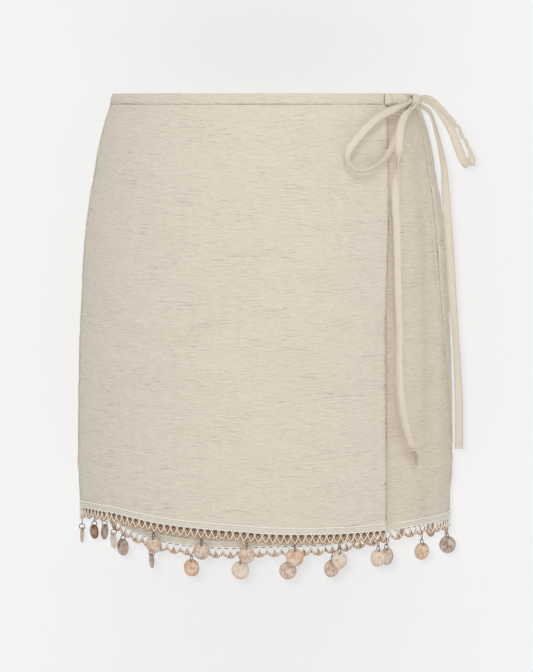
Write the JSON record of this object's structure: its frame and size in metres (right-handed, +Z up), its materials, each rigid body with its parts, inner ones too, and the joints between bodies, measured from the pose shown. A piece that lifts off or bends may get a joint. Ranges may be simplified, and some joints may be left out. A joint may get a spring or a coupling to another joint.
{
  "type": "wrap skirt",
  "caption": "Wrap skirt in crinkled cotton, filled out as worn, with a narrow waistband tied in a bow at one side and a scalloped lace hem hung with shell discs.",
  "frame": {"origin": "centre of the waistband ring, where a body fills the waist", "axes": "+Z up along the wearer, the front faces -Y, the bow is on the +X side"},
  "size_m": [0.373, 0.2425, 0.4401],
  "materials": {
    "cloth": "crinkled cotton crepe, matt",
    "tie": "folded and edge-stitched strip of the same crepe",
    "tape": "fine knitted tape",
    "lace": "brown and tan yarn with white threads",
    "shell_cream": "polished natural shell, cream",
    "shell_orange": "polished natural shell, pale orange",
    "shell_pink": "polished natural shell, pinkish cream",
    "shell_grey": "polished natural shell, pinkish grey",
    "shell_brown": "polished natural shell, dark brown"
  },
  "bodies": {
    "skirt": {"front_overlap": "cloth", "front_under": "cloth", "back_panel": "cloth", "waistband": "cloth", "keeper": "tie", "tie_lead": "tie", "tie_knot": "tie", "tie_loop_left": "tie", "tie_loop_right": "tie", "tie_tail_left": "tie", "tie_tail_right": "tie", "tape_overlap": "tape", "tape_under": "tape", "tape_back": "tape", "lace_overlap": "lace", "lace_under": "lace", "lace_back": "lace"},
    "drop_overlap_01": {"drop_overlap_01": "shell_brown"},
    "drop_overlap_02": {"drop_overlap_02": "shell_cream"},
    "drop_overlap_03": {"drop_overlap_03": "shell_pink"},
    "drop_overlap_04": {"drop_overlap_04": "shell_pink"},
    "drop_overlap_05": {"drop_overlap_05": "shell_grey"},
    "drop_overlap_06": {"drop_overlap_06": "shell_orange"},
    "drop_overlap_07": {"drop_overlap_07": "shell_orange"},
    "drop_overlap_08": {"drop_overlap_08": "shell_cream"},
    "drop_under_01": {"drop_under_01": "shell_grey"},
    "drop_under_02": {"drop_under_02": "shell_grey"},
    "drop_under_03": {"drop_under_03": "shell_orange"},
    "drop_under_04": {"drop_under_04": "shell_cream"},
    "drop_under_05": {"drop_under_05": "shell_orange"},
    "drop_under_06": {"drop_under_06": "shell_brown"},
    "drop_under_07": {"drop_under_07": "shell_orange"},
    "drop_under_08": {"drop_under_08": "shell_orange"},
    "drop_under_09": {"drop_under_09": "shell_grey"},
    "drop_back_01": {"drop_back_01": "shell_cream"},
    "drop_back_02": {"drop_back_02": "shell_pink"},
    "drop_back_03": {"drop_back_03": "shell_orange"},
    "drop_back_04": {"drop_back_04": "shell_cream"},
    "drop_back_05": {"drop_back_05": "shell_grey"},
    "drop_back_06": {"drop_back_06": "shell_orange"},
    "drop_back_07": {"drop_back_07": "shell_pink"},
    "drop_back_08": {"drop_back_08": "shell_cream"},
    "drop_back_09": {"drop_back_09": "shell_orange"},
    "drop_back_10": {"drop_back_10": "shell_brown"},
    "drop_back_11": {"drop_back_11": "shell_cream"}
  },
  "joints": [
    {"name": "swing_overlap_01", "type": "hinge", "parent": "skirt", "child": "drop_overlap_01", "pos_m": [-0.15906, -0.04802, -0.39253], "axis": [-0.4067, 0.9135, 0], "range_deg": [-60, 60]},
    {"name": "swing_overlap_02", "type": "hinge", "parent": "skirt", "child": "drop_overlap_02", "pos_m": [-0.13962, -0.0706, -0.39648], "axis": [-0.5976, 0.8018, 0], "range_deg": [0, 60]},
    {"name": "swing_overlap_03", "type": "hinge", "parent": "skirt", "child": "drop_overlap_03", "pos_m": [-0.10184, -0.09592, -0.39615], "axis": [-0.8113, 0.5846, 0], "range_deg": [0, 60]},
    {"name": "swing_overlap_04", "type": "hinge", "parent": "skirt", "child": "drop_overlap_04", "pos_m": [-0.05758, -0.11163, -0.39936], "axis": [-0.9438, 0.3305, 0], "range_deg": [0, 60]},
    {"name": "swing_overlap_05", "type": "hinge", "parent": "skirt", "child": "drop_overlap_05", "pos_m": [-0.0164, -0.11777, -0.40162], "axis": [-0.9956, 0.0941, 0], "range_deg": [0, 60]},
    {"name": "swing_overlap_06", "type": "hinge", "parent": "skirt", "child": "drop_overlap_06", "pos_m": [0.02695, -0.11687, -0.4039], "axis": [-0.988, -0.1547, 0], "range_deg": [0, 60]},
    {"name": "swing_overlap_07", "type": "hinge", "parent": "skirt", "child": "drop_overlap_07", "pos_m": [0.06749, -0.10903, -0.40764], "axis": [-0.9219, -0.3875, 0], "range_deg": [0, 60]},
    {"name": "swing_overlap_08", "type": "hinge", "parent": "skirt", "child": "drop_overlap_08", "pos_m": [0.10358, -0.09503, -0.40793], "axis": [-0.8039, -0.5948, 0], "range_deg": [0, 60]},
    {"name": "swing_under_01", "type": "hinge", "parent": "skirt", "child": "drop_under_01", "pos_m": [-0.13117, -0.0713, -0.40206], "axis": [-0.6361, 0.7716, 0], "range_deg": [-60, 5]},
    {"name": "swing_under_02", "type": "hinge", "parent": "skirt", "child": "drop_under_02", "pos_m": [-0.10367, -0.08936, -0.41262], "axis": [-0.7934, 0.6088, 0], "range_deg": [-60, 5]},
    {"name": "swing_under_03", "type": "hinge", "parent": "skirt", "child": "drop_under_03", "pos_m": [-0.06673, -0.10404, -0.41544], "axis": [-0.9203, 0.3912, 0], "range_deg": [-60, 5]},
    {"name": "swing_under_04", "type": "hinge", "parent": "skirt", "child": "drop_under_04", "pos_m": [-0.0223, -0.1123, -0.4162], "axis": [-0.9914, 0.1306, 0], "range_deg": [-60, 5]},
    {"name": "swing_under_05", "type": "hinge", "parent": "skirt", "child": "drop_under_05", "pos_m": [0.0208, -0.11243, -0.41654], "axis": [-0.9925, -0.1219, 0], "range_deg": [-60, 5]},
    {"name": "swing_under_06", "type": "hinge", "parent": "skirt", "child": "drop_under_06", "pos_m": [0.06141, -0.10551, -0.41559], "axis": [-0.933, -0.36, 0], "range_deg": [-60, 5]},
    {"name": "swing_under_07", "type": "hinge", "parent": "skirt", "child": "drop_under_07", "pos_m": [0.11146, -0.08504, -0.40826], "axis": [-0.7559, -0.6547, 0], "range_deg": [-60, 5]},
    {"name": "swing_under_08", "type": "hinge", "parent": "skirt", "child": "drop_under_08", "pos_m": [0.14515, -0.06519, -0.40689], "axis": [-0.5519, -0.8339, 0], "range_deg": [-60, 60]},
    {"name": "swing_under_09", "type": "hinge", "parent": "skirt", "child": "drop_under_09", "pos_m": [0.17216, -0.01746, -0.4085], "axis": [-0.1478, -0.989, 0], "range_deg": [-60, 60]},
    {"name": "swing_back_01", "type": "hinge", "parent": "skirt", "child": "drop_back_01", "pos_m": [0.17249, 0.01543, -0.40576], "axis": [0.1308, -0.9914, 0], "range_deg": [-60, 60]},
    {"name": "swing_back_02", "type": "hinge", "parent": "skirt", "child": "drop_back_02", "pos_m": [0.15982, 0.04802, -0.40486], "axis": [0.4036, -0.915, 0], "range_deg": [-60, 60]},
    {"name": "swing_back_03", "type": "hinge", "parent": "skirt", "child": "drop_back_03", "pos_m": [0.13338, 0.07598, -0.40725], "axis": [0.6428, -0.766, 0], "range_deg": [-60, 60]},
    {"name": "swing_back_04", "type": "hinge", "parent": "skirt", "child": "drop_back_04", "pos_m": [0.10202, 0.09495, -0.40485], "axis": [0.809, -0.5878, 0], "range_deg": [-60, 60]},
    {"name": "swing_back_05", "type": "hinge", "parent": "skirt", "child": "drop_back_05", "pos_m": [0.06519, 0.10946, -0.40585], "axis": [0.9272, -0.3746, 0], "range_deg": [-60, 60]},
    {"name": "swing_back_06", "type": "hinge", "parent": "skirt", "child": "drop_back_06", "pos_m": [0.02429, 0.11768, -0.40555], "axis": [0.9903, -0.1392, 0], "range_deg": [-60, 60]},
    {"name": "swing_back_07", "type": "hinge", "parent": "skirt", "child": "drop_back_07", "pos_m": [-0.01821, 0.11773, -0.40805], "axis": [0.9945, 0.1045, 0], "range_deg": [-60, 60]},
    {"name": "swing_back_08", "type": "hinge", "parent": "skirt", "child": "drop_back_08", "pos_m": [-0.05958, 0.11114, -0.40505], "axis": [0.9397, 0.342, 0], "range_deg": [-60, 60]},
    {"name": "swing_back_09", "type": "hinge", "parent": "skirt", "child": "drop_back_09", "pos_m": [-0.09874, 0.09653, -0.4053], "axis": [0.8224, 0.5689, 0], "range_deg": [-60, 60]},
    {"name": "swing_back_10", "type": "hinge", "parent": "skirt", "child": "drop_back_10", "pos_m": [-0.15554, 0.05296, -0.40837], "axis": [0.4486, 0.8937, 0], "range_deg": [-60, 60]},
    {"name": "swing_back_11", "type": "hinge", "parent": "skirt", "child": "drop_back_11", "pos_m": [-0.17392, 0.00348, -0.40342], "axis": [0.0295, 0.9996, 0], "range_deg": [-60, 60]}
  ]
}
